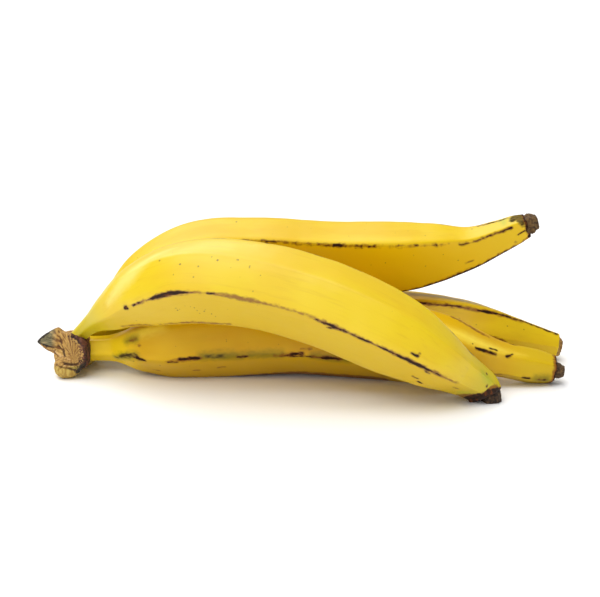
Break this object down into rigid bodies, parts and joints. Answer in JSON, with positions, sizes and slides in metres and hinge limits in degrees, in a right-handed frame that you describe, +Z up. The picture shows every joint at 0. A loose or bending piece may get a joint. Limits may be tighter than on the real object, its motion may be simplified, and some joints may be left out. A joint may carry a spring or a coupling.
{
  "type": "banana hand, four plantain fingers on one cut crown",
  "caption": "Hand of plantain bananas joined at a brown cut crown, lying down, with yellow ridged fingers and dark blossom ends.",
  "frame": {"origin": "on the table, under the middle of the box round the whole hand", "axes": "+X along the fingers from the crown to the blossom ends, -Y the side of the front finger, +Z up from the table"},
  "size_m": [0.3072, 0.1355, 0.0902],
  "materials": {
    "crown_tissue": "dry fibrous cut crown, tan with a dark purplish-brown rim",
    "peel_bright": "waxy satin peel, bright yellow with brown ridge bruises and fine specks",
    "peel_golden": "waxy satin peel, golden yellow with green-brown marks along the ridge",
    "peel_dull": "waxy satin peel, duller yellow with a grey-tan upper face",
    "peel_warm": "waxy satin peel, warm yellow with dark ridge marks and many faint specks",
    "dried_blossom": "dry crumbly dark brown flower remnant"
  },
  "bodies": {
    "root": {"crown": "crown_tissue", "finger_front": "peel_bright", "finger_low": "peel_golden", "finger_back": "peel_dull", "finger_top": "peel_warm", "blossom_end_front": "dried_blossom", "blossom_end_low": "dried_blossom", "blossom_end_back": "dried_blossom", "blossom_end_top": "dried_blossom"}
  },
  "joints": []
}
